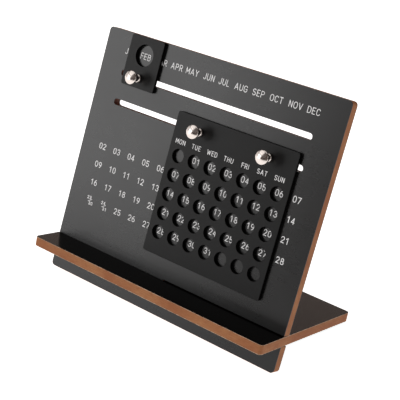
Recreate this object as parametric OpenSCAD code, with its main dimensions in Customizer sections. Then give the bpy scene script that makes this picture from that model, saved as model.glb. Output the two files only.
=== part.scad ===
// Perpetual desk calendar.
// Two faced boards of equal width are slit to their middles and pushed
// together, so the upright panel leans back on the tail of the sloping base.
// A month slider with one round window and a day slider with seven by five
// windows run along two slots in the panel. Each is held by turned studs,
// with a guide in the slot and a washer and screw behind the panel.

/* [Boards] */
// Width of both boards
board_w = 180; // [170:1:200]
// Height of the upright panel
panel_h = 161.5; // [160:0.5:190]
// Thickness of each board, facing sheets included
board_t = 6; // [5:0.5:6]
// Thickness of one facing sheet
facing_t = 0.3; // [0.2:0.1:0.8]
// Depth of the base, front edge to rear edge
base_d = 100; // [90:1:120]
// Front edge of the base to the middle of the crossing
ledge_d = 25; // [20:1:30]
// Bottom edge of the panel to the middle of the crossing
cross_h = 20; // [16:1:22]
// How far the boards stand from square at the crossing, in degrees
splay = 6; // [3:0.5:6]
// Extra width of the slits, which lets the boards take that angle
lap_slack = 0.7; // [0.7:0.1:1.5]
// Radius of the board corners
corner_r = 2.5; // [1:0.5:5]

/* [Slots] */
// Height of both slots
slot_h = 4; // [4:0.5:5]
// Length of both slots, end to end
slot_len = 144; // [140:0.5:148]
// Left edge of the panel to the left end of the slots
slot_x0 = 17.5; // [16:0.5:18]
// Bottom edge of the panel to the middle of the month slot
month_slot_v = 135.6; // [134:0.1:138]
// Bottom edge of the panel to the middle of the day slot
day_slot_v = 116.9; // [115:0.1:118]

/* [Month slider] */
// Width of the month slider
month_w = 26.3; // [24:0.1:30]
// Height of the month slider
month_h = 32; // [32:0.5:36]
// Diameter of its window
month_hole_d = 13.6; // [12:0.1:15]
// Middle of the window above the middle of the slot
month_hole_up = 14.5; // [13:0.1:16]
// Middle of the slot above the bottom edge of the slider
month_drop = 6.2; // [6:0.1:7]
// Left edge of the panel to the middle of the slider, as it stands
month_x = 33.9; // [30:0.1:120]

/* [Day slider] */
// Width of the day slider
day_w = 88.5; // [87:0.5:92]
// Height of the day slider
day_h = 89; // [88:0.5:92]
// Middle of the slot below the top edge of the slider
day_drop = 8.5; // [8:0.1:10]
// Diameter of one day window
day_hole_d = 8.5; // [7:0.1:9]
// Distance between day windows, both ways
day_pitch = 12.15; // [11:0.05:12.2]
// Middle of the slot down to the middle of the first row of windows
day_first_row = 18; // [17:0.1:20]
// Distance between the two studs
stud_gap = 50.6; // [44:0.2:56]
// Left edge of the panel to the middle of the slider, as it stands
day_x = 114.4; // [60:0.1:130]

/* [Slider fit] */
// Thickness of both slider plates
slider_t = 2; // [1.5:0.5:3]
// Room between a slider and the face of the panel
slider_gap = 0.2; // [0.1:0.1:0.4]
// Room between a guide and one side of its slot
guide_gap = 0.075; // [0.03:0.005:0.1]
// Length of the month slider's guide along the slot
shoe_len = 5.5; // [5:0.5:6]
// Radius of the slider corners
slider_r = 1.5; // [0.5:0.25:3]

/* [Studs] */
// Radius of the stud's head at its rim
head_r = 4.4; // [4.2:0.1:4.8]
// Height of the stud above the slider
stud_h = 9.5; // [9.2:0.1:11]
// Height of the head's rim above the slider
rim_h = 7.8; // [7.2:0.1:8]
// Radius of the foot of the stud
foot_r = 2.75; // [2.7:0.05:3.2]
// Radius of the stud's neck
neck_r = 2.2; // [2:0.1:2.3]

/* [Fasteners] */
// Radius of the screw's shank
screw_r = 1.48; // [1.4:0.01:1.48]
// Radius of the screw's head
screw_head_r = 2.8; // [2.5:0.1:3.2]
// Radius of the washer
washer_r = 4.2; // [3.5:0.1:5]
// Thickness of the washer
washer_t = 0.8; // [0.5:0.1:1]

/* [Hidden] */
$fn = 64;
e = 0.01;

// The slit in each board, and the small gap where the slit ends meet.
slit_h = board_t + lap_slack;
slit_gap = 0.3;

// The panel stands on its lower rear edge and the base on its lower rear
// edge, and the lean follows from where those two edges are.
heel_v = cross_h + (base_d - ledge_d) * sin(splay) - board_t / 2 * cos(splay);
heel_n = -board_t / 2 - (base_d - ledge_d) * cos(splay) - board_t / 2 * sin(splay);
lean = atan2(heel_v, -heel_n - board_t);

// Depths of the front edge and the rear edge, before centring.
cross_y = cross_h * sin(lean) + board_t / 2 * cos(lean);
front_y = cross_y - ledge_d * cos(lean - splay) - board_t / 2 * sin(lean - splay);
rear_y = cross_y + (base_d - ledge_d) * cos(lean - splay) + board_t / 2 * sin(lean - splay);
shift_y = -(front_y + rear_y) / 2;
shift_z = board_t * sin(lean);

// Middle of the slots, from the middle of the panel.
slot_mid = slot_x0 + slot_len / 2 - board_w / 2;

// Face of a slider, and depths of the parts behind the panel.
slider_face = slider_gap + slider_t;
tail_gap = 0.15;
guide_back = -board_t - tail_gap;
washer_back = guide_back - washer_t;
hole_r = 1.65;
tap_r = 1.5;
tap_depth = 6;
shank_end = slider_face + tap_depth - 0.5;

// The stud: a bead at its foot, a hollow throat that opens out under the
// head, a small round on the rim and a shallow dome that touches it.
bead_r = 1.3;
bead_h = 1.4;
throat_r = 2.8;
rim_r = 0.8;
rim_c = head_r - rim_r;
throat_h = rim_h - rim_r - sqrt(throat_r * throat_r - pow(neck_r + throat_r - rim_c, 2));
dome_c = (rim_c * rim_c + rim_h * rim_h - pow(stud_h - rim_r, 2)) / (2 * (rim_h - stud_h + rim_r));
dome_R = stud_h - dome_c;

black = [0.11, 0.11, 0.115];
slate = [0.16, 0.16, 0.165];
fibre = [0.66, 0.43, 0.28];
nickel = [0.80, 0.76, 0.70];
steel = [0.62, 0.63, 0.64];
nylon = [0.88, 0.88, 0.84];

// Panel space: x across from the middle, y up the panel from its bottom
// edge, z out of its front face.
module in_panel() {
    translate([0, shift_y, shift_z]) rotate([90 - lean, 0, 0]) children();
}

// Base space: x across, y back from the crossing, z up from the middle of
// the board's thickness.
module in_base() {
    in_panel() translate([0, cross_h, -board_t / 2]) rotate([splay - 90, 0, 0]) children();
}

// A rectangle with round corners, from its lower left corner.
module round_rect(w, h, r) {
    translate([r, 0]) square([w - 2 * r, h]);
    translate([0, r]) square([w, h - 2 * r]);
    for (x = [r, w - r], y = [r, h - r]) translate([x, y]) circle(r);
}

// A slot with round ends, from its middle.
module round_slot(len, h) {
    square([len - h, h], center = true);
    for (s = [-1, 1]) translate([s * (len - h) / 2, 0]) circle(h / 2);
}

// Outline of the panel, with both slots and the slit from its right end.
module panel_outline() {
    difference() {
        translate([-board_w / 2, 0]) round_rect(board_w, panel_h, corner_r);
        for (v = [month_slot_v, day_slot_v]) translate([slot_mid, v]) round_slot(slot_len, slot_h);
        translate([-slit_gap, cross_h - slit_h / 2]) square([board_w / 2 + slit_gap + 1, slit_h]);
    }
}

// Outline of the base, with the slit from its left end.
module base_outline() {
    difference() {
        translate([-board_w / 2, -ledge_d]) round_rect(board_w, base_d, corner_r);
        translate([-board_w / 2 - 1, -slit_h / 2]) square([board_w / 2 + slit_gap + 1, slit_h]);
    }
}

// One layer of a board, between two depths.
module layer(low, high) {
    translate([0, 0, low]) linear_extrude(high - low) children();
}

// Fibreboard core of the panel
module panel_core() {
    color(fibre) in_panel() layer(facing_t - board_t, -facing_t) panel_outline();
}

// Black sheet on the front of the panel
module panel_front_facing() {
    color(slate) in_panel() layer(-facing_t, 0) panel_outline();
}

// Black sheet on the back of the panel
module panel_rear_facing() {
    color(slate) in_panel() layer(-board_t, facing_t - board_t) panel_outline();
}

// Fibreboard core of the base
module base_core() {
    color(fibre) in_base() layer(facing_t - board_t / 2, board_t / 2 - facing_t) base_outline();
}

// Black sheet on the top of the base
module base_top_facing() {
    color(slate) in_base() layer(board_t / 2 - facing_t, board_t / 2) base_outline();
}

// Black sheet under the base
module base_bottom_facing() {
    color(slate) in_base() layer(-board_t / 2, facing_t - board_t / 2) base_outline();
}

// Place on the month slot and on the day slot.
module on_month() {
    in_panel() translate([month_x - board_w / 2, month_slot_v, 0]) children();
}
module on_day(side = 0) {
    in_panel() translate([day_x - board_w / 2 + side * stud_gap / 2, day_slot_v, 0]) children();
}

// Month plate with its one window and the hole for its screw
module month_slider() {
    color(black) on_month() layer(slider_gap, slider_face) difference() {
        translate([-month_w / 2, -month_drop]) round_rect(month_w, month_h, slider_r);
        translate([0, month_hole_up]) circle(month_hole_d / 2);
        circle(hole_r);
    }
}

// Day plate with its grid of windows and the holes for its two screws
module day_slider() {
    color(black) on_day() layer(slider_gap, slider_face) difference() {
        translate([-day_w / 2, day_drop - day_h]) round_rect(day_w, day_h, slider_r);
        for (c = [-3:3], r = [0:4])
            translate([c * day_pitch, -day_first_row - r * day_pitch]) circle(day_hole_d / 2);
        for (s = [-1, 1]) translate([s * stud_gap / 2, 0]) circle(hole_r);
    }
}

// Half section of a stud: foot bead, neck, throat and domed head, tapped from below
module stud_section() {
    difference() {
        union() {
            square([foot_r - 0.65, bead_h]);
            translate([foot_r - bead_r, bead_h]) circle(bead_r);
            square([neck_r, rim_h]);
            difference() {
                translate([0, throat_h]) square([rim_c, rim_h - throat_h]);
                translate([neck_r + throat_r, throat_h]) circle(throat_r, $fn = 128);
            }
            intersection() {
                translate([0, dome_c]) circle(dome_R, $fn = 128);
                translate([0, rim_h - e]) square([rim_c, stud_h]);
            }
            translate([rim_c, rim_h]) circle(rim_r);
        }
        translate([-20, -20]) square([20, 60]);
        square([tap_r, tap_depth]);
    }
}
module stud() {
    color(nickel) translate([0, 0, slider_face]) rotate_extrude($fn = 128) stud_section();
}

// Guide of the month slider: a block with round ends that keeps the plate upright
module shoe() {
    color(nylon) layer(guide_back, slider_gap) difference() {
        round_slot(shoe_len, slot_h - 2 * guide_gap);
        circle(hole_r);
    }
}

// Guide of the day slider: a plain bush round each screw
module bush() {
    color(nylon) layer(guide_back, slider_gap) difference() {
        circle(slot_h / 2 - guide_gap);
        circle(hole_r);
    }
}

// Washer that spans the slot behind the panel
module washer() {
    color(steel) layer(washer_back, guide_back) difference() {
        circle(washer_r);
        circle(hole_r);
    }
}

// Pan head screw with a driver slot
module screw() {
    color(steel) difference() {
        union() {
            translate([0, 0, washer_back - e]) cylinder(r = screw_r, h = shank_end - washer_back + e);
            translate([0, 0, washer_back]) rotate([180, 0, 0]) rotate_extrude() {
                square([screw_head_r, 0.9]);
                square([screw_head_r - 0.9, 1.8]);
                intersection() {
                    translate([screw_head_r - 0.9, 0.9]) circle(0.9);
                    square([screw_head_r + 1, 2]);
                }
            }
        }
        translate([0, 0, washer_back - 1.8]) cube([2 * screw_head_r + 1, 0.8, 1.8], center = true);
    }
}

module month_knob() on_month() stud();
module month_guide_shoe() on_month() shoe();
module month_washer() on_month() washer();
module month_screw() on_month() screw();
module day_knob_left() on_day(-1) stud();
module day_knob_right() on_day(1) stud();
module day_guide_bush_left() on_day(-1) bush();
module day_guide_bush_right() on_day(1) bush();
module day_washer_left() on_day(-1) washer();
module day_washer_right() on_day(1) washer();
module day_screw_left() on_day(-1) screw();
module day_screw_right() on_day(1) screw();

panel_core();
panel_front_facing();
panel_rear_facing();
base_core();
base_top_facing();
base_bottom_facing();
month_slider();
month_knob();
month_guide_shoe();
month_washer();
month_screw();
day_slider();
day_knob_left();
day_knob_right();
day_guide_bush_left();
day_guide_bush_right();
day_washer_left();
day_washer_right();
day_screw_left();
day_screw_right();
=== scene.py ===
import math

import bpy
from mathutils import Matrix, Vector
from mathutils.geometry import delaunay_2d_cdt


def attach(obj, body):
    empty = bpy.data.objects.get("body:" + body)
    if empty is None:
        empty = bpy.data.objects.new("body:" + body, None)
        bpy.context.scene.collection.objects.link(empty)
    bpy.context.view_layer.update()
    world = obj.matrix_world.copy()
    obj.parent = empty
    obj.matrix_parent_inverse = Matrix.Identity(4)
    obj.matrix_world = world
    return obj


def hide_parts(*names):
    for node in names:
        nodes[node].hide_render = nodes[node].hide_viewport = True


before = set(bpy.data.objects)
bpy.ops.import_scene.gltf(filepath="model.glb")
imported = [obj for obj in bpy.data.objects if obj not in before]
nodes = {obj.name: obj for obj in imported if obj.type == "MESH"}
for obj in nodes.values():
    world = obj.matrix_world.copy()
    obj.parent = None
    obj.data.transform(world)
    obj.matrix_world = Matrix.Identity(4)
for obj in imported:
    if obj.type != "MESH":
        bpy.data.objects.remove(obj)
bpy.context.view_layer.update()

# ---------------------------------------------------------------- dimensions
# Millimetres, the same numbers as the CAD source.
BOARD_W, PANEL_H, BOARD_T, FACING_T = 180.0, 161.5, 6.0, 0.3
BASE_D, LEDGE_D, CROSS_H, SPLAY = 100.0, 25.0, 20.0, math.radians(6.0)
LAP_SLACK, CORNER_R, SLIT_GAP = 0.7, 2.5, 0.3
SLOT_H, SLOT_LEN, SLOT_X0, MONTH_V, DAY_V = 4.0, 144.0, 17.5, 135.6, 116.9
MONTH_W, MONTH_H, MONTH_HOLE_D, MONTH_HOLE_UP, MONTH_DROP, MONTH_X = 26.3, 32.0, 13.6, 14.5, 6.2, 33.9
DAY_W, DAY_H, DAY_DROP, DAY_HOLE_D, PITCH, FIRST_ROW, STUD_GAP, DAY_X = 88.5, 89.0, 8.5, 8.5, 12.15, 18.0, 50.6, 114.4
SLIDER_T, SLIDER_GAP, SLIDER_R = 2.0, 0.2, 1.5
HEAD_R, STUD_H, RIM_H, FOOT_R, NECK_R = 4.4, 9.5, 7.8, 2.75, 2.2
HOLE_R, TAP_R, TAP_DEPTH, RIM_R, BEAD_R, BEAD_H, THROAT_R = 1.65, 1.5, 6.0, 0.8, 1.3, 1.4, 2.8

heel_v = CROSS_H + (BASE_D - LEDGE_D) * math.sin(SPLAY) - BOARD_T / 2 * math.cos(SPLAY)
heel_n = -BOARD_T / 2 - (BASE_D - LEDGE_D) * math.cos(SPLAY) - BOARD_T / 2 * math.sin(SPLAY)
LEAN = math.atan2(heel_v, -heel_n - BOARD_T)
TILT = LEAN - SPLAY
cross_y = CROSS_H * math.sin(LEAN) + BOARD_T / 2 * math.cos(LEAN)
front_y = cross_y - LEDGE_D * math.cos(TILT) - BOARD_T / 2 * math.sin(TILT)
rear_y = cross_y + (BASE_D - LEDGE_D) * math.cos(TILT) + BOARD_T / 2 * math.sin(TILT)
SHIFT_Y, SHIFT_Z = -(front_y + rear_y) / 2, BOARD_T * math.sin(LEAN)
SLIDER_FACE = SLIDER_GAP + SLIDER_T

MM = Matrix.Scale(0.001, 4)
# Panel space: x from the middle, y up the panel, z out of its front face.
PANEL = MM @ Matrix.Translation((0, SHIFT_Y, SHIFT_Z)) @ Matrix.Rotation(math.pi / 2 - LEAN, 4, "X")
# Base space: x from the middle, y back from the crossing, z up from mid-thickness.
BASE = PANEL @ Matrix.Translation((0, CROSS_H, -BOARD_T / 2)) @ Matrix.Rotation(SPLAY - math.pi / 2, 4, "X")


def at_panel(u, v, z=0.0):
    """Panel space with its origin u from the panel's left edge and v above its bottom edge."""
    return PANEL @ Matrix.Translation((u - BOARD_W / 2, v, z))


# ---------------------------------------------------------------- mesh tools
class Shape:
    """Vertices, faces, a normal for every face corner and a material for every face."""

    def __init__(self):
        self.verts, self.faces, self.normals, self.mats = [], [], [], []

    def face(self, ids, normals, mat=0):
        self.faces.append(tuple(ids))
        self.normals.append([tuple(n) for n in normals])
        self.mats.append(mat)

    def make(self, name, matrix, materials):
        mesh = bpy.data.meshes.new(name)
        mesh.from_pydata([tuple(matrix @ Vector(v)) for v in self.verts], [], self.faces)
        turn = matrix.to_3x3().normalized()
        for poly, mat in zip(mesh.polygons, self.mats):
            poly.material_index = mat
            poly.use_smooth = True
        loops = [turn @ Vector(n) for ns in self.normals for n in ns]
        mesh.normals_split_custom_set([tuple(n.normalized()) for n in loops])
        for m in materials:
            mesh.materials.append(m)
        obj = bpy.data.objects.new(name, mesh)
        bpy.context.scene.collection.objects.link(obj)
        return obj


def arc(cx, cy, r, a0, a1, steps, sign=1):
    out = []
    for k in range(steps + 1):
        a = math.radians(a0 + (a1 - a0) * k / steps)
        n = (sign * math.cos(a), sign * math.sin(a))
        out.append([cx + r * math.cos(a), cy + r * math.sin(a), n, n])
    return out


def corner(x, y):
    return [[x, y, None, None]]


def closed(points):
    """Fills in the normals of sharp corners from the straight edges that meet there."""
    n = len(points)
    for i, p in enumerate(points):
        if p[2] is None:
            q, s = points[i - 1], points[(i + 1) % n]
            for k, (a, b) in enumerate(((q, p), (p, s))):
                dx, dy = b[0] - a[0], b[1] - a[1]
                length = math.hypot(dx, dy)
                p[2 + k] = (dy / length, -dx / length)
    return points


def round_rect(x, y, w, h, r, steps=8):
    return closed(
        arc(x + w - r, y + r, r, -90, 0, steps)
        + arc(x + w - r, y + h - r, r, 0, 90, steps)
        + arc(x + r, y + h - r, r, 90, 180, steps)
        + arc(x + r, y + r, r, 180, 270, steps)
    )


def round_hole(cx, cy, r, steps=48):
    return closed(arc(cx, cy, r, 360, 360 / steps, steps - 1, -1))


def slot_hole(cx, cy, length, h, steps=24):
    r, s = h / 2, (length - h) / 2
    return closed(arc(cx - s, cy, r, 270, 90, steps, -1) + arc(cx + s, cy, r, 90, -90, steps, -1))


def inset(loop, d):
    out = []
    for x, y, a, b in loop:
        k = 1 + a[0] * b[0] + a[1] * b[1]
        out.append((x - d * (a[0] + b[0]) / k, y - d * (a[1] + b[1]) / k))
    return out


def inside(p, loop):
    hit = False
    for i in range(len(loop)):
        (x0, y0), (x1, y1) = loop[i - 1], loop[i]
        if (y0 > p[1]) != (y1 > p[1]) and p[0] < x0 + (p[1] - y0) * (x1 - x0) / (y1 - y0):
            hit = not hit
    return hit


def slab(shape, outer, holes, z0, z1, r0=0.0, r1=0.0, steps=3, side=0, top=0, bottom=0):
    """A plate between two heights whose lower and upper edges are rounded by r0 and r1."""
    rings = [(r0 * (1 - math.cos(a)), z0 + r0 + r0 * math.sin(a), a)
             for a in ([math.radians(-90 + 90 * k / steps) for k in range(steps + 1)] if r0 else [0.0])]
    rings += [(r1 * (1 - math.cos(a)), z1 - r1 + r1 * math.sin(a), a)
              for a in ([math.radians(90 * k / steps) for k in range(steps + 1)] if r1 else [0.0])]
    first, last = [], []
    for which, loop in enumerate([outer] + holes):
        n, start = len(loop), len(shape.verts)
        for d, z, _ in rings:
            shape.verts += [(x, y, z) for x, y in inset(loop, d)]
        for k in range(len(rings) - 1):
            (_, _, a0), (_, _, a1) = rings[k], rings[k + 1]
            mat = side if which or a0 + a1 == 0 else (top if a0 + a1 > 0 else bottom)
            for i in range(n):
                j = (i + 1) % n
                na, nb = loop[i][3], loop[j][2]
                shape.face(
                    [start + k * n + i, start + k * n + j, start + (k + 1) * n + j, start + (k + 1) * n + i],
                    [(na[0] * math.cos(a0), na[1] * math.cos(a0), math.sin(a0)),
                     (nb[0] * math.cos(a0), nb[1] * math.cos(a0), math.sin(a0)),
                     (nb[0] * math.cos(a1), nb[1] * math.cos(a1), math.sin(a1)),
                     (na[0] * math.cos(a1), na[1] * math.cos(a1), math.sin(a1))], mat)
        first.append(range(start, start + n))
        last.append(range(start + (len(rings) - 1) * n, start + len(rings) * n))
    for loops, up, mat in ((first, False, bottom), (last, True, top)):
        ids = [i for loop in loops for i in loop]
        pts = [Vector(shape.verts[i][:2]) for i in ids]
        edges, at = [], 0
        for loop in loops:
            edges += [(at + i, at + (i + 1) % len(loop)) for i in range(len(loop))]
            at += len(loop)
        v2, _, f2, orig, _, _ = delaunay_2d_cdt(pts, edges, [], 1, 1e-7)
        back = [ids[o[0]] for o in orig]
        rims = [[shape.verts[i][:2] for i in loop] for loop in loops[1:]]
        boxes = [(min(p[0] for p in r), max(p[0] for p in r), min(p[1] for p in r), max(p[1] for p in r)) for r in rims]
        for f in f2:
            a, b, c = (v2[i] for i in f[:3])
            mid = (a + b + c) / 3
            if any(x0 < mid.x < x1 and y0 < mid.y < y1 and inside(mid, r) for r, (x0, x1, y0, y1) in zip(rims, boxes)):
                continue
            ccw = (b - a).cross(c - a) > 0
            tri = [back[i] for i in f]
            if ccw != up:
                tri.reverse()
            shape.face(tri, [(0, 0, 1 if up else -1)] * len(tri), mat)


def lathe(shape, profile, steps=96, mat=0):
    """Turns (r, z, normal before, normal after) points about z. A point with r = 0 closes the form."""
    rows = []
    for r, z, _, _ in profile:
        if r < 1e-6:
            rows.append([len(shape.verts)] * steps)
            shape.verts.append((0, 0, z))
        else:
            rows.append(list(range(len(shape.verts), len(shape.verts) + steps)))
            shape.verts += [(r * math.cos(2 * math.pi * k / steps), r * math.sin(2 * math.pi * k / steps), z)
                            for k in range(steps)]
    for i in range(len(profile) - 1):
        n0, n1 = profile[i][3], profile[i + 1][2]
        for k in range(steps):
            j = (k + 1) % steps
            quad = [(rows[i][k], k, n0), (rows[i][j], j, n0), (rows[i + 1][j], j, n1), (rows[i + 1][k], k, n1)]
            seen, kept = set(), []
            for q in quad:
                if q[0] not in seen:
                    seen.add(q[0])
                    kept.append(q)
            if len(kept) < 3:
                continue
            shape.face([q[0] for q in kept],
                       [(q[2][0] * math.cos(2 * math.pi * q[1] / steps),
                         q[2][0] * math.sin(2 * math.pi * q[1] / steps), q[2][1]) for q in kept], mat)


def turned(points):
    """Profile points (r, z) with flat facets between them, each with its own normal on either side."""
    out = []
    for i, p in enumerate(points):
        ns = []
        for a, b in ((points[i - 1] if i else p, p), (p, points[i + 1] if i + 1 < len(points) else p)):
            dr, dz = b[0] - a[0], b[1] - a[1]
            length = math.hypot(dr, dz) or 1
            ns.append((dz / length, -dr / length))
        if i == 0:
            ns[0] = ns[1]
        if i == len(points) - 1:
            ns[1] = ns[0]
        out.append([p[0], p[1], ns[0], ns[1]])
    return out


def round_part(cr, cz, r, a0, a1, steps):
    """Profile points on a circle, from angle a0 to a1 in degrees, with the circle's own normals."""
    out = []
    for k in range(steps + 1):
        a = math.radians(a0 + (a1 - a0) * k / steps)
        n = (math.cos(a), math.sin(a))
        out.append([cr + r * n[0], cz + r * n[1], n, n])
    return out


def joined(*parts):
    """Profile parts one after another. Straight runs between them get their own normals."""
    out = []
    for part in parts:
        for p in part:
            if out and math.hypot(out[-1][0] - p[0], out[-1][1] - p[1]) < 1e-5:
                out[-1][3] = p[3]
                continue
            out.append(list(p))
    return out


# ---------------------------------------------------------------- materials
def new_material(name):
    mat = bpy.data.materials.new(name)
    mat.use_nodes = True
    tree = mat.node_tree
    tree.nodes.clear()
    out = tree.nodes.new("ShaderNodeOutputMaterial")
    bsdf = tree.nodes.new("ShaderNodeBsdfPrincipled")
    tree.links.new(bsdf.outputs[0], out.inputs[0])
    return mat, tree, bsdf


class Nodes:
    """Short calls for building a node tree."""

    def __init__(self, tree):
        self.tree = tree

    def put(self, kind, **inputs):
        node = self.tree.nodes.new(kind)
        for key, value in inputs.items():
            if key.startswith("_"):
                setattr(node, key[1:], value)
        return node

    def set(self, node, name, value):
        sock = node.inputs[name]
        if hasattr(value, "is_linked"):
            self.tree.links.new(value, sock)
        else:
            sock.default_value = value
        return node

    def coords(self, turn=(0, 0, 0), scale=(1, 1, 1)):
        tc = self.put("ShaderNodeTexCoord")
        rot = self.put("ShaderNodeMapping")
        self.set(rot, "Vector", tc.outputs["Object"])
        self.set(rot, "Rotation", turn)
        sc = self.put("ShaderNodeMapping")
        self.set(sc, "Vector", rot.outputs[0])
        self.set(sc, "Scale", scale)
        return sc.outputs[0]

    def noise(self, vector, scale, detail=3.0, rough=0.5, distortion=0.0):
        n = self.put("ShaderNodeTexNoise")
        self.set(n, "Vector", vector)
        self.set(n, "Scale", scale)
        self.set(n, "Detail", detail)
        self.set(n, "Roughness", rough)
        self.set(n, "Distortion", distortion)
        return n.outputs[0]

    def ramp(self, value, lo, hi, to_lo, to_hi, smooth=False):
        n = self.put("ShaderNodeMapRange")
        if smooth:
            n.interpolation_type = "SMOOTHSTEP"
        self.set(n, 0, value)
        for i, x in enumerate((lo, hi, to_lo, to_hi)):
            self.set(n, i + 1, x)
        return n.outputs[0]

    def math(self, op, a, b=None, c=None):
        n = self.put("ShaderNodeMath", _operation=op)
        for i, x in enumerate((a, b, c)):
            if x is not None:
                self.set(n, i, x)
        return n.outputs[0]

    def mix(self, fac, a, b):
        n = self.put("ShaderNodeMix", _data_type="RGBA")
        n.inputs[0].default_value = 0.5
        if hasattr(fac, "is_linked"):
            self.tree.links.new(fac, n.inputs[0])
        else:
            n.inputs[0].default_value = fac
        for i, x in ((6, a), (7, b)):
            if hasattr(x, "is_linked"):
                self.tree.links.new(x, n.inputs[i])
            else:
                n.inputs[i].default_value = (*x, 1.0)
        return n.outputs[2]

    def bump(self, height, strength, distance):
        n = self.put("ShaderNodeBump")
        self.set(n, "Strength", strength)
        self.set(n, "Distance", distance)
        self.set(n, "Height", height)
        return n.outputs[0]

    def axis(self, vector, i):
        n = self.put("ShaderNodeSeparateXYZ")
        self.set(n, 0, vector)
        return n.outputs[i]


PANEL_TURN = (-(math.pi / 2 - LEAN), 0, 0)
BASE_TURN = (TILT, 0, 0)


def black_sheet(name, turn, grey, rough, grain, specular):
    """Black facing sheet or painted plate: fine pebble grain, faint rub marks and slightly uneven gloss."""
    mat, tree, bsdf = new_material(name)
    n = Nodes(tree)
    co = n.coords(turn)
    grain_noise = n.noise(co, 2600.0, 4.0, 0.62)
    cloud = n.noise(co, 22.0, 4.0, 0.55)
    streak = n.noise(n.coords(turn, (30.0, 260.0, 60.0)), 1.0, 5.0, 0.6)
    n.set(bsdf, "Base Color", n.mix(n.ramp(grain_noise, 0.35, 0.7, 0.0, 1.0), tuple(c * 0.75 for c in grey), tuple(c * 1.3 for c in grey)))
    uneven = n.math("ADD", n.ramp(cloud, 0.3, 0.7, -0.022, 0.022), n.ramp(streak, 0.35, 0.7, -0.005, 0.006))
    n.set(bsdf, "Roughness", n.math("ADD", uneven, rough))
    n.set(bsdf, "Specular IOR Level", specular)
    n.set(bsdf, "Normal", n.bump(grain_noise, grain, 0.00004))
    return mat


def sheet_cut_painted_highlight(name, turn):
    """The cut side of a facing sheet: pale paper, lightened further as a painted highlight line along the edge, with
    darker nicks along it.
    """
    mat, tree, bsdf = new_material(name)
    n = Nodes(tree)
    nicks = n.noise(n.coords(turn, (420.0, 420.0, 900.0)), 1.0, 4.0, 0.6)
    # Painted highlight: the pale paper colour is made lighter to stand in for the light line the cut edge catches.
    n.set(bsdf, "Base Color", n.mix(n.ramp(nicks, 0.42, 0.62, 0.0, 1.0), (0.62, 0.45, 0.31), (0.34, 0.19, 0.105)))
    n.set(bsdf, "Roughness", n.ramp(nicks, 0.3, 0.7, 0.5, 0.65))
    n.set(bsdf, "Specular IOR Level", 0.3)
    n.set(bsdf, "Normal", n.bump(nicks, 0.3, 0.00004))
    return mat


def fibreboard(name, turn, low, high, slots=()):
    """Cut and browned fibreboard: fibre flecks that run along the board, browner near both faces.
    Inside the slots, given as heights along the turned second axis, the cut is darkened with painted shade."""
    mat, tree, bsdf = new_material(name)
    n = Nodes(tree)
    co = n.coords(turn)
    depth = n.axis(co, 2)
    across = n.ramp(depth, low, high, -1.0, 1.0)
    edge = n.ramp(n.math("ABSOLUTE", across), 0.62, 1.0, 0.0, 1.0, True)
    flecks = n.noise(n.coords(turn, (260.0, 260.0, 1500.0)), 1.0, 5.0, 0.62)
    patches = n.noise(co, 60.0, 3.0, 0.5)
    fibres = n.noise(n.coords(turn, (900.0, 900.0, 3200.0)), 1.0, 3.0, 0.6)
    warm = n.mix(n.ramp(patches, 0.35, 0.65, 0.0, 1.0), (0.295, 0.104, 0.039), (0.38, 0.168, 0.067))
    body = n.mix(n.ramp(flecks, 0.36, 0.66, 0.0, 0.7), warm, (0.245, 0.088, 0.036))
    body = n.mix(n.ramp(fibres, 0.58, 0.74, 0.0, 0.45), body, (0.46, 0.232, 0.118))
    body = n.mix(n.math("MULTIPLY", edge, 0.35), body, (0.16, 0.052, 0.022))
    # Painted shade: the cut inside each slot is darkened where shade falls in the narrow recess.
    for middle in slots:
        away = n.math("ABSOLUTE", n.math("SUBTRACT", n.axis(co, 1), middle))
        within = n.math("LESS_THAN", n.math("ABSOLUTE", n.axis(co, 0)), 0.084)
        slot_painted_shade = n.math("MULTIPLY", n.ramp(away, 0.0024, 0.0028, 1.0, 0.0), within)
        body = n.mix(slot_painted_shade, body, n.mix(n.ramp(flecks, 0.36, 0.66, 0.0, 1.0), (0.13, 0.036, 0.016), (0.07, 0.019, 0.010)))
    n.set(bsdf, "Base Color", body)
    n.set(bsdf, "Roughness", n.ramp(flecks, 0.3, 0.7, 0.62, 0.78))
    n.set(bsdf, "Specular IOR Level", 0.2)
    height = n.math("ADD", n.math("MULTIPLY", fibres, 0.6), flecks)
    n.set(bsdf, "Normal", n.bump(height, 0.35, 0.00008))
    return mat


def metal(name, turn, colour, rough, centre, marks):
    """Plated turned metal: faint turning rings about the part's axis and a soft polish."""
    mat, tree, bsdf = new_material(name)
    n = Nodes(tree)
    co = n.coords(turn)
    rings = n.noise(n.coords(turn, (40.0, 40.0, 5200.0)), 1.0, 2.0, 0.6)
    haze = n.noise(co, 900.0, 3.0, 0.55)
    n.set(bsdf, "Base Color", n.mix(n.ramp(haze, 0.35, 0.65, 0.0, 1.0), tuple(c * 0.96 for c in colour), colour))
    n.set(bsdf, "Metallic", 1.0)
    n.set(bsdf, "Roughness", n.math("ADD", n.ramp(haze, 0.3, 0.7, -0.02, 0.03), rough))
    n.set(bsdf, "Normal", n.bump(rings, marks, 0.00002))
    return mat


def ink(name):
    """White print with slightly uneven cover."""
    mat, tree, bsdf = new_material(name)
    n = Nodes(tree)
    cover = n.noise(n.coords(), 2200.0, 3.0, 0.6)
    n.set(bsdf, "Base Color", n.mix(n.ramp(cover, 0.3, 0.62, 0.0, 1.0), (0.74, 0.74, 0.74), (0.90, 0.90, 0.90)))
    n.set(bsdf, "Roughness", 0.55)
    n.set(bsdf, "Specular IOR Level", 0.4)
    return mat


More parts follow.
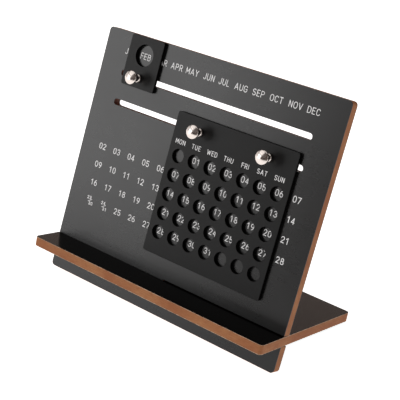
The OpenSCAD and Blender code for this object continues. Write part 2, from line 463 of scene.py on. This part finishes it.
def nylon(name):
    mat, tree, bsdf = new_material(name)
    n = Nodes(tree)
    cloud = n.noise(n.coords(), 500.0, 3.0, 0.5)
    n.set(bsdf, "Base Color", n.mix(n.ramp(cloud, 0.35, 0.65, 0.0, 1.0), (0.62, 0.61, 0.56), (0.70, 0.69, 0.64)))
    n.set(bsdf, "Roughness", 0.45)
    n.set(bsdf, "Subsurface Weight", 0.1)
    bsdf.inputs["Subsurface Radius"].default_value = (0.001, 0.001, 0.001)
    n.set(bsdf, "Normal", n.bump(cloud, 0.2, 0.00005))
    return mat


panel_sheet = black_sheet("panel_black_sheet", PANEL_TURN, (0.003, 0.003, 0.003), 0.28, 0.2, 0.5)
base_sheet = black_sheet("base_black_sheet", BASE_TURN, (0.002, 0.0017, 0.0016), 0.20, 0.2, 0.05)
base_sheet_cut_painted_highlight = sheet_cut_painted_highlight("base_sheet_cut_side_painted_highlight", BASE_TURN)
plate_black = black_sheet("plate_black", PANEL_TURN, (0.003, 0.003, 0.003), 0.42, 0.25, 0.22)
plate_cut = black_sheet("plate_cut_side", PANEL_TURN, (0.0012, 0.0011, 0.001), 0.85, 0.5, 0.05)
panel_core_mat = fibreboard("panel_fibreboard", PANEL_TURN, 0.0, 1.0,
                            [(Matrix.Rotation(PANEL_TURN[0], 4, "X") @ PANEL @ Vector((0, v, 0))).y for v in (MONTH_V, DAY_V)])
base_core_mat = fibreboard("base_fibreboard", BASE_TURN, 0.0, 1.0)
nickel = metal("stud_nickel", PANEL_TURN, (0.66, 0.595, 0.555), 0.18, None, 0.10)
zinc = metal("zinc_steel", PANEL_TURN, (0.62, 0.63, 0.65), 0.34, None, 0.25)
white_ink = ink("white_print")
guide_nylon = nylon("guide_nylon")


def set_depth(mat, matrix, low, high):
    """Tells the fibreboard where the two faces of its board lie along the turned third axis."""
    for node in mat.node_tree.nodes:
        if node.type == "MAP_RANGE" and abs(node.inputs[3].default_value + 1.0) < 1e-6:
            node.inputs[1].default_value = low
            node.inputs[2].default_value = high


def turned_depth(matrix, turn, z):
    p = matrix @ Vector((0, 0, z))
    from mathutils import Euler
    return (Euler(turn).to_matrix() @ p).z


set_depth(panel_core_mat, PANEL, turned_depth(PANEL, PANEL_TURN, -BOARD_T), turned_depth(PANEL, PANEL_TURN, 0.0))
set_depth(base_core_mat, BASE, turned_depth(BASE, BASE_TURN, -BOARD_T / 2), turned_depth(BASE, BASE_TURN, BOARD_T / 2))

# ---------------------------------------------------------------- boards
half, slit = BOARD_W / 2, BOARD_T + LAP_SLACK


def panel_outline():
    r = CORNER_R
    return closed(
        arc(half - r, r, r, -90, 0, 10)
        + corner(half, CROSS_H - slit / 2) + corner(-SLIT_GAP, CROSS_H - slit / 2)
        + corner(-SLIT_GAP, CROSS_H + slit / 2) + corner(half, CROSS_H + slit / 2)
        + arc(half - r, PANEL_H - r, r, 0, 90, 10)
        + arc(-half + r, PANEL_H - r, r, 90, 180, 10)
        + arc(-half + r, r, r, 180, 270, 10)
    )


def base_outline():
    r, y0, y1 = CORNER_R, -LEDGE_D, BASE_D - LEDGE_D
    return closed(
        arc(half - r, y0 + r, r, -90, 0, 10)
        + arc(half - r, y1 - r, r, 0, 90, 10)
        + arc(-half + r, y1 - r, r, 90, 180, 10)
        + corner(-half, slit / 2) + corner(SLIT_GAP, slit / 2)
        + corner(SLIT_GAP, -slit / 2) + corner(-half, -slit / 2)
        + arc(-half + r, y0 + r, r, 180, 270, 10)
    )


slot_mid = SLOT_X0 + SLOT_LEN / 2 - half
panel_slots = [slot_hole(slot_mid, MONTH_V, SLOT_LEN, SLOT_H), slot_hole(slot_mid, DAY_V, SLOT_LEN, SLOT_H)]
EASE = 0.06
for name, node, matrix, outline, holes, low, high, r0, r1, mats in (
    ("panel_front_sheet", "panel_front_facing", PANEL, panel_outline(), panel_slots, -FACING_T, 0.0, 0.0, EASE, [panel_sheet]),
    ("panel_rear_sheet", "panel_rear_facing", PANEL, panel_outline(), panel_slots, -BOARD_T, FACING_T - BOARD_T, EASE, 0.0, [panel_sheet]),
    ("base_top_sheet", "base_top_facing", BASE, base_outline(), [], BOARD_T / 2 - FACING_T, BOARD_T / 2, 0.0, EASE, [base_sheet, base_sheet_cut_painted_highlight]),
    ("base_under_sheet", "base_bottom_facing", BASE, base_outline(), [], -BOARD_T / 2, FACING_T - BOARD_T / 2, EASE, 0.0, [base_sheet, base_sheet_cut_painted_highlight]),
):
    s = Shape()
    slab(s, outline, holes, low, high, r0, r1, side=len(mats) - 1)
    obj = s.make(name, matrix, mats)
    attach(obj, "stand")
    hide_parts(node)

# ---------------------------------------------------------------- sliders
s = Shape()
slab(s, round_rect(-MONTH_W / 2, -MONTH_DROP, MONTH_W, MONTH_H, SLIDER_R),
     [round_hole(0, MONTH_HOLE_UP, MONTH_HOLE_D / 2, 96), round_hole(0, 0, HOLE_R, 32)],
     SLIDER_GAP, SLIDER_FACE, 0.12, 0.18, side=1)
month_plate = s.make("month_plate", at_panel(MONTH_X, MONTH_V), [plate_black, plate_cut])
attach(month_plate, "month_carriage")
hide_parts("month_slider")

s = Shape()
windows = [round_hole(c * PITCH, -FIRST_ROW - r * PITCH, DAY_HOLE_D / 2, 64) for r in range(5) for c in range(-3, 4)]
slab(s, round_rect(-DAY_W / 2, DAY_DROP - DAY_H, DAY_W, DAY_H, SLIDER_R),
     windows + [round_hole(k * STUD_GAP / 2, 0, HOLE_R, 32) for k in (-1, 1)],
     SLIDER_GAP, SLIDER_FACE, 0.12, 0.18, side=1)
day_plate = s.make("day_plate", at_panel(DAY_X, DAY_V), [plate_black, plate_cut])
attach(day_plate, "day_carriage")
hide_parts("day_slider")

# ---------------------------------------------------------------- studs
rim_c, bead_c, throat_c = HEAD_R - RIM_R, FOOT_R - BEAD_R, NECK_R + THROAT_R
dome_c = (rim_c * rim_c + RIM_H * RIM_H - (STUD_H - RIM_R) ** 2) / (2 * (RIM_H - STUD_H + RIM_R))
dome_r = STUD_H - dome_c
throat_h = RIM_H - RIM_R - math.sqrt(THROAT_R ** 2 - (throat_c - rim_c) ** 2)
a_foot = -math.degrees(math.acos((FOOT_R - 0.65 - bead_c) / BEAD_R))
a_neck = math.degrees(math.acos((NECK_R - bead_c) / BEAD_R))
a_throat = math.degrees(math.acos((rim_c - throat_c) / THROAT_R))
a_dome = math.degrees(math.atan2(RIM_H - dome_c, rim_c))
throat = round_part(throat_c, throat_h, THROAT_R, 180, a_throat, 16)
for point in throat:
    point[2] = point[3] = (-point[2][0], -point[2][1])
stud_profile = joined(
    turned([(0, TAP_DEPTH), (TAP_R, TAP_DEPTH), (TAP_R, 0), (FOOT_R - 0.65, 0),
            (FOOT_R - 0.65, BEAD_H + BEAD_R * math.sin(math.radians(a_foot)))]),
    round_part(bead_c, BEAD_H, BEAD_R, a_foot, a_neck, 20),
    turned([(NECK_R, BEAD_H + BEAD_R * math.sin(math.radians(a_neck))), (NECK_R, throat_h)]),
    throat,
    round_part(rim_c, RIM_H, RIM_R, -90, a_dome, 16),
    round_part(0, dome_c, dome_r, a_dome, 90, 20),
)
stud_profile[-1][0] = 0.0
for name, node, body, u, v in (
    ("month_stud", "month_knob", "month_carriage", MONTH_X, MONTH_V),
    ("day_stud_left", "day_knob_left", "day_carriage", DAY_X - STUD_GAP / 2, DAY_V),
    ("day_stud_right", "day_knob_right", "day_carriage", DAY_X + STUD_GAP / 2, DAY_V),
):
    s = Shape()
    lathe(s, stud_profile)
    obj = s.make(name, at_panel(u, v, SLIDER_FACE), [nickel])
    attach(obj, body)
    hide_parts(node)

# ---------------------------------------------------------------- print
# A plain single-line alphabet. Each glyph is (width, strokes); a stroke is a
# list of points in a box one unit high. Curves are short runs of points.


def curve(cx, cy, rx, ry, a0, a1, steps=None):
    steps = steps or max(4, int(abs(a1 - a0) / 12))
    return [(cx + rx * math.cos(math.radians(a0 + (a1 - a0) * k / steps)),
             cy + ry * math.sin(math.radians(a0 + (a1 - a0) * k / steps))) for k in range(steps + 1)]


def ring(cx, cy, rx, ry):
    return curve(cx, cy, rx, ry, 0, 360, 32)


def oval(w, r=None):
    """An upright form with half-round ends, w wide and one unit high."""
    r = r or w / 2
    return [(0, r)] + curve(w / 2, r, w / 2, r, 180, 360, 12) + curve(w / 2, 1 - r, w / 2, r, 0, 180, 12) + [(0, r)]


D = 0.56
GLYPHS = {
    "0": (D, [oval(D, 0.30)]),
    "1": (D, [[(D * 0.14, 0.77), (D * 0.62, 1.0), (D * 0.62, 0.0)]]),
    "2": (D, [curve(D / 2, 0.73, D / 2, 0.27, 172, -28) + [(0.0, 0.0), (D, 0.0)]]),
    "3": (D, [curve(D / 2, 0.755, D / 2 * 0.92, 0.245, 160, -90), curve(D / 2, 0.265, D / 2, 0.265, 90, -162)]),
    "4": (D, [[(D * 0.74, 0.0), (D * 0.74, 1.0), (0.0, 0.26), (D, 0.26)]]),
    "5": (D, [[(D * 0.93, 1.0), (D * 0.12, 1.0), (D * 0.05, 0.54)] + curve(D / 2, 0.31, D / 2, 0.31, 128, -160)]),
    "6": (D, [ring(D / 2, 0.30, D / 2, 0.30), [(0.0, 0.30), (0.02, 0.52), (0.10, 0.74), (0.24, 0.92), (0.38, 1.0)]]),
    "7": (D, [[(0.0, 1.0), (D, 1.0), (D * 0.32, 0.0)]]),
    "8": (D, [ring(D / 2, 0.76, D / 2 * 0.86, 0.24), ring(D / 2, 0.26, D / 2, 0.26)]),
    "9": (D, [ring(D / 2, 0.70, D / 2, 0.30), [(D, 0.70), (D - 0.02, 0.48), (D - 0.10, 0.26), (D - 0.24, 0.08), (D - 0.38, 0.0)]]),
    "/": (1.73, [[(0.0, 0.0), (1.73, 1.0)]]),
    "A": (0.66, [[(0.0, 0.0), (0.33, 1.0), (0.66, 0.0)], [(0.11, 0.32), (0.55, 0.32)]]),
    "B": (0.56, [[(0.0, 0.0), (0.0, 1.0), (0.30, 1.0)] + curve(0.30, 0.765, 0.21, 0.235, 90, -90) + [(0.0, 0.53)],
                 [(0.0, 0.0), (0.30, 0.0)] + curve(0.30, 0.265, 0.26, 0.265, -90, 90)]),
    "C": (0.58, [curve(0.29, 0.68, 0.29, 0.32, 22, 180) + curve(0.29, 0.32, 0.29, 0.32, 180, 338)]),
    "D": (0.58, [[(0.0, 0.0), (0.0, 1.0), (0.24, 1.0)] + curve(0.24, 0.64, 0.34, 0.36, 90, 0) + curve(0.24, 0.36, 0.34, 0.36, 0, -90) + [(0.0, 0.0)]]),
    "E": (0.48, [[(0.48, 1.0), (0.0, 1.0), (0.0, 0.0), (0.48, 0.0)], [(0.0, 0.52), (0.42, 0.52)]]),
    "F": (0.48, [[(0.48, 1.0), (0.0, 1.0), (0.0, 0.0)], [(0.0, 0.51), (0.41, 0.51)]]),
    "G": (0.60, [curve(0.30, 0.68, 0.30, 0.32, 22, 180) + curve(0.30, 0.32, 0.30, 0.32, 180, 360) + [(0.60, 0.47), (0.34, 0.47)]]),
    "H": (0.56, [[(0.0, 0.0), (0.0, 1.0)], [(0.56, 0.0), (0.56, 1.0)], [(0.0, 0.52), (0.56, 0.52)]]),
    "I": (0.02, [[(0.01, 0.0), (0.01, 1.0)]]),
    "J": (0.42, [[(0.42, 1.0), (0.42, 0.27)] + curve(0.21, 0.27, 0.21, 0.27, 0, -168)]),
    "L": (0.44, [[(0.0, 1.0), (0.0, 0.0), (0.44, 0.0)]]),
    "M": (0.68, [[(0.0, 0.0), (0.0, 1.0), (0.34, 0.28), (0.68, 1.0), (0.68, 0.0)]]),
    "N": (0.56, [[(0.0, 0.0), (0.0, 1.0), (0.56, 0.0), (0.56, 1.0)]]),
    "O": (0.62, [oval(0.62, 0.34)]),
    "P": (0.54, [[(0.0, 0.0), (0.0, 1.0), (0.28, 1.0)] + curve(0.28, 0.735, 0.26, 0.265, 90, -90) + [(0.0, 0.47)]]),
    "R": (0.56, [[(0.0, 0.0), (0.0, 1.0), (0.28, 1.0)] + curve(0.28, 0.745, 0.26, 0.255, 90, -90) + [(0.0, 0.49)], [(0.28, 0.49), (0.56, 0.0)]]),
    "S": (0.54, [curve(0.27, 0.755, 0.25, 0.245, 24, 270) + curve(0.27, 0.255, 0.27, 0.255, 90, -156)]),
    "T": (0.56, [[(0.0, 1.0), (0.56, 1.0)], [(0.28, 1.0), (0.28, 0.0)]]),
    "U": (0.56, [[(0.0, 1.0), (0.0, 0.30)] + curve(0.28, 0.30, 0.28, 0.30, 180, 360) + [(0.56, 1.0)]]),
    "V": (0.62, [[(0.0, 1.0), (0.31, 0.0), (0.62, 1.0)]]),
    "W": (0.88, [[(0.0, 1.0), (0.22, 0.0), (0.44, 0.86), (0.66, 0.0), (0.88, 1.0)]]),
    "Y": (0.60, [[(0.0, 1.0), (0.30, 0.48), (0.60, 1.0)], [(0.30, 0.48), (0.30, 0.0)]]),
}


def ribbon(points, w):
    """Quads along a line of points, split where it turns sharply, and a disc at each end and split."""
    pts = [points[0]]
    for p in points[1:]:
        if math.hypot(p[0] - pts[-1][0], p[1] - pts[-1][1]) > 1e-4:
            pts.append(p)
    shut = math.hypot(pts[0][0] - pts[-1][0], pts[0][1] - pts[-1][1]) < 1e-3
    if shut:
        pts[-1] = pts[0]
    polys, h, n = [], w / 2, len(pts)
    dirs = []
    for i in range(n - 1):
        dx, dy = pts[i + 1][0] - pts[i][0], pts[i + 1][1] - pts[i][1]
        length = math.hypot(dx, dy)
        dirs.append((dx / length, dy / length))
    for i in range(n - 1):
        ends = []
        for k, j in ((i, i - 1), (i + 1, i + 1)):
            other = dirs[j] if 0 <= j < n - 1 else (dirs[j % (n - 1)] if shut else None)
            d = dirs[i]
            nx, ny = -d[1], d[0]
            if other is not None and d[0] * other[0] + d[1] * other[1] > 0.86:
                mx, my = nx - other[1], ny + other[0]
                q = mx * nx + my * ny
                mx, my = mx / q, my / q
            else:
                mx, my = nx, ny
                cx, cy = pts[k]
                polys.append([(cx + h * math.cos(a * math.pi / 8), cy + h * math.sin(a * math.pi / 8)) for a in range(16)])
            ends.append(((pts[k][0] + h * mx, pts[k][1] + h * my), (pts[k][0] - h * mx, pts[k][1] - h * my)))
        (l0, r0), (l1, r1) = ends
        polys.append([r0, r1, l1, l0])
    return polys


flat_cache = {}


def flat(char, height, w):
    """The glyph as one flat mesh: points, triangles and its rim, with strokes w wide inside the height."""
    key = (char, round(height, 3), round(w, 3))
    if key not in flat_cache:
        width, strokes = GLYPHS[char]
        k = height - w
        polys = []
        for stroke in strokes:
            polys += ribbon([(w / 2 + x * k, w / 2 + y * k) for x, y in stroke], w)
        coords, faces = [], []
        for poly in polys:
            faces.append(list(range(len(coords), len(coords) + len(poly))))
            coords += [Vector(p) for p in poly]
        v2, _, f2, _, _, covered = delaunay_2d_cdt(coords, [], faces, 0, 1e-6)
        tris, count = [], {}
        for f, cover in zip(f2, covered):
            if not cover:
                continue
            a, b, c = (v2[i] for i in f[:3])
            t = list(f) if (b - a).cross(c - a) > 0 else list(reversed(f))
            tris.append(t)
            for i in range(len(t)):
                e = (t[i], t[(i + 1) % len(t)])
                count[e] = 1
        rim = [e for e in count if (e[1], e[0]) not in count]
        flat_cache[key] = (width * k + w, [tuple(v) for v in v2], tris, rim)
    return flat_cache[key]


INK_T = 0.03


def write(shape, text, cx, cy, height, w, gap):
    """Centres the text on a point. gap is the clear space between letters."""
    x = cx - (sum(flat(c, height, w)[0] for c in text) + gap * (len(text) - 1)) / 2
    for c in text:
        width, pts, tris, rim = flat(c, height, w)
        base = len(shape.verts)
        n = len(pts)
        for z in (0.0, INK_T):
            shape.verts += [(x + p[0], cy - height / 2 + p[1], z) for p in pts]
        for t in tris:
            shape.face([base + n + i for i in t], [(0, 0, 1)] * len(t))
            shape.face([base + i for i in reversed(t)], [(0, 0, -1)] * len(t))
        for a, b in rim:
            dx, dy = pts[b][0] - pts[a][0], pts[b][1] - pts[a][1]
            run = math.hypot(dx, dy) or 1
            normal = (dy / run, -dx / run, 0)
            shape.face([base + a, base + b, base + n + b, base + n + a], [normal] * 4)
        x += width + gap


s = Shape()
GRID_U, GRID_V, PRINT_PITCH, ROW_PITCH = 17.83, 98.9, 12.17, 12.06
# The numbers stand a little off the grid: from the given columns on, each row is set this far to the side.
OFFSETS = (((1, -0.33),), ((1, -0.17), (9, -0.30), (11, -0.62)), ((1, -0.08), (3, -0.30), (4, -0.62)), ((1, -0.10), (5, -0.18)), ((1, -0.10),))
for row, (first, start, stop) in enumerate(((1, 7, 13), (2, 1, 13), (9, 1, 13), (16, 1, 13), (25, 3, 9))):
    for col in range(start, stop + 1):
        off = [d for at, d in OFFSETS[row] if at <= col][-1]
        write(s, "%02d" % (first + col - start), GRID_U + off + (col - 1) * PRINT_PITCH - half,
              GRID_V + (0.14 if row == 0 else 0.04) - row * ROW_PITCH, 3.92, 0.50, 0.66)
for col, (upper, lower) in enumerate((("23", "30"), ("24", "31"))):
    cx, cy = GRID_U + col * PRINT_PITCH - half, GRID_V - 4 * ROW_PITCH + 0.1
    write(s, upper, cx - 0.6, cy + 1.75, 2.25, 0.42, 0.5)
    write(s, lower, cx + 1.4, cy - 1.85, 2.25, 0.42, 0.5)
    write(s, "/", cx + 0.4, cy, 2.0, 0.36, 0.0)
MONTHS = ("JAN", "FEB", "MAR", "APR", "MAY", "JUN", "JUL", "AUG", "SEP", "OCT", "NOV", "DEC")
PLACES = (21.2, 33.7, 46.3, 58.9, 71.0, 83.8, 95.2, 107.6, 120.1, 132.8, 146.0, 158.2)
for word, place in zip(MONTHS, PLACES):
    write(s, word, place - half, 149.5, 3.96, 0.43, 0.72)
# The print sits a fifth of a degree off square on the board.
panel_print = s.make("panel_print", at_panel(40.0, 80.0) @ Matrix.Rotation(0.0038, 4, "Z") @ Matrix.Translation((half - 40.0, -80.0, 0.0)), [white_ink])
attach(panel_print, "stand")

s = Shape()
for k, word in enumerate(("MON", "TUE", "WED", "THU", "FRI", "SAT", "SUN")):
    write(s, word, (k - 3) * 12.15 - 0.75, 107.6 - DAY_V, 3.05, 0.37, 0.62)
weekday_print = s.make("weekday_print", at_panel(DAY_X, DAY_V, SLIDER_FACE), [white_ink])
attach(weekday_print, "day_carriage")

# ---------------------------------------------------------------- CAD nodes that show
looks = {
    "panel_core": panel_core_mat,
    "base_core": base_core_mat,
    "month_guide_shoe": guide_nylon, "day_guide_bush_left": guide_nylon, "day_guide_bush_right": guide_nylon,
    "month_washer": zinc, "day_washer_left": zinc, "day_washer_right": zinc,
    "month_screw": zinc, "day_screw_left": zinc, "day_screw_right": zinc,
}
for name, mat in looks.items():
    data = nodes[name].data
    data.materials.clear()
    data.materials.append(mat)

# ---------------------------------------------------------------- studio
cam_data = bpy.data.cameras.new("camera")
cam = bpy.data.objects.new("camera", cam_data)
bpy.context.scene.collection.objects.link(cam)
right = Vector((0.7781875, 0.6252694, 0.05884209))
up = Vector((-0.31864521, 0.31235524, 0.89492985))
forward = Vector((-0.54119261, 0.71517297, -0.44231004))
cam.matrix_world = Matrix((
    (right.x, up.x, -forward.x, 0.35222974),
    (right.y, up.y, -forward.y, -0.45991335),
    (right.z, up.z, -forward.z, 0.35540315),
    (0, 0, 0, 1),
))
cam_data.sensor_fit = "HORIZONTAL"
cam_data.sensor_width = 36.0
cam_data.lens = 1055.336192 / 400 * 36.0
cam_data.clip_start = 0.01
cam_data.clip_end = 50.0
bpy.context.scene.camera = cam


def card(name, side, height, wide, tall, far, glow, colour=(1.0, 1.0, 1.0)):
    """A soft light card. side and height are its directions from the object in degrees (side counts
    from straight ahead towards the left), wide and tall the angles it fills, glow its brightness."""
    data = bpy.data.lights.new(name, "AREA")
    data.shape = "RECTANGLE"
    data.size = 2 * far * math.tan(math.radians(wide / 2))
    data.size_y = 2 * far * math.tan(math.radians(tall / 2))
    data.energy = glow * math.pi * data.size * data.size_y
    data.color = colour
    a, e = math.radians(side), math.radians(height)
    aim = Vector((0.0, 0.0, 0.06))
    away = Vector((-math.sin(a) * math.cos(e), -math.cos(a) * math.cos(e), math.sin(e)))
    obj = bpy.data.objects.new(name, data)
    obj.location = aim + away * far
    obj.rotation_euler = (-away).to_track_quat("-Z", "Y").to_euler()
    obj.visible_camera = False
    bpy.context.scene.collection.objects.link(obj)
    return obj


card("left_card", 44.0, 10.0, 28.0, 20.0, 1.6, 3.0)
card("left_card_high", 42.0, 25.0, 38.0, 20.0, 1.6, 0.9)
card("upper_card", 46.0, 46.0, 42.0, 28.0, 1.6, 1.25)
card("front_card", 0.0, 30.0, 30.0, 28.0, 1.6, 0.10)
card("right_front_card", -60.0, 20.0, 34.0, 30.0, 1.6, 0.3)
card("side_card", 76.0, 12.0, 28.0, 24.0, 1.6, 0.8)
card("rear_card", 148.0, 20.0, 60.0, 36.0, 1.6, 0.76, (1.0, 0.78, 0.68))
card("right_card", -100.0, 25.0, 40.0, 30.0, 1.6, 0.35)
card("top_card", 0.0, 90.0, 50.0, 50.0, 1.9, 0.8)

floor_mesh = bpy.data.meshes.new("floor")
floor_mesh.from_pydata([(-8, -8, 0), (8, -8, 0), (8, 8, 0), (-8, 8, 0)], [], [(0, 1, 2, 3)])
floor = bpy.data.objects.new("floor", floor_mesh)
bpy.context.scene.collection.objects.link(floor)
floor_mat, tree, bsdf = new_material("pale_floor")
bsdf.inputs["Base Color"].default_value = (0.92, 0.92, 0.92, 1)
bsdf.inputs["Roughness"].default_value = 0.9
bsdf.inputs["Specular IOR Level"].default_value = 0.1
# A white light table: it glows from below round the object and fades out far from it.
fl = Nodes(tree)
far = fl.put("ShaderNodeVectorMath", _operation="LENGTH")
fl.set(far, 0, fl.put("ShaderNodeTexCoord").outputs["Object"])
bsdf.inputs["Emission Color"].default_value = (1.0, 1.0, 1.0, 1)
fl.set(bsdf, "Emission Strength", fl.ramp(far.outputs["Value"], 1.8, 4.2, 1.0, 0.1, True))
floor_mesh.materials.append(floor_mat)

world = bpy.data.worlds.new("studio")
bpy.context.scene.world = world
world.use_nodes = True
wt = world.node_tree
wt.nodes.clear()
w_out = wt.nodes.new("ShaderNodeOutputWorld")
w_bg = wt.nodes.new("ShaderNodeBackground")
w_bg.inputs[0].default_value = (1.0, 0.72, 0.62, 1)
w_bg.inputs[1].default_value = 0.065
wt.links.new(w_bg.outputs[0], w_out.inputs[0])

view = bpy.context.scene.view_settings
view.view_transform = "Standard"
view.look = "None"
view.exposure = 0.0
view.gamma = 1.0
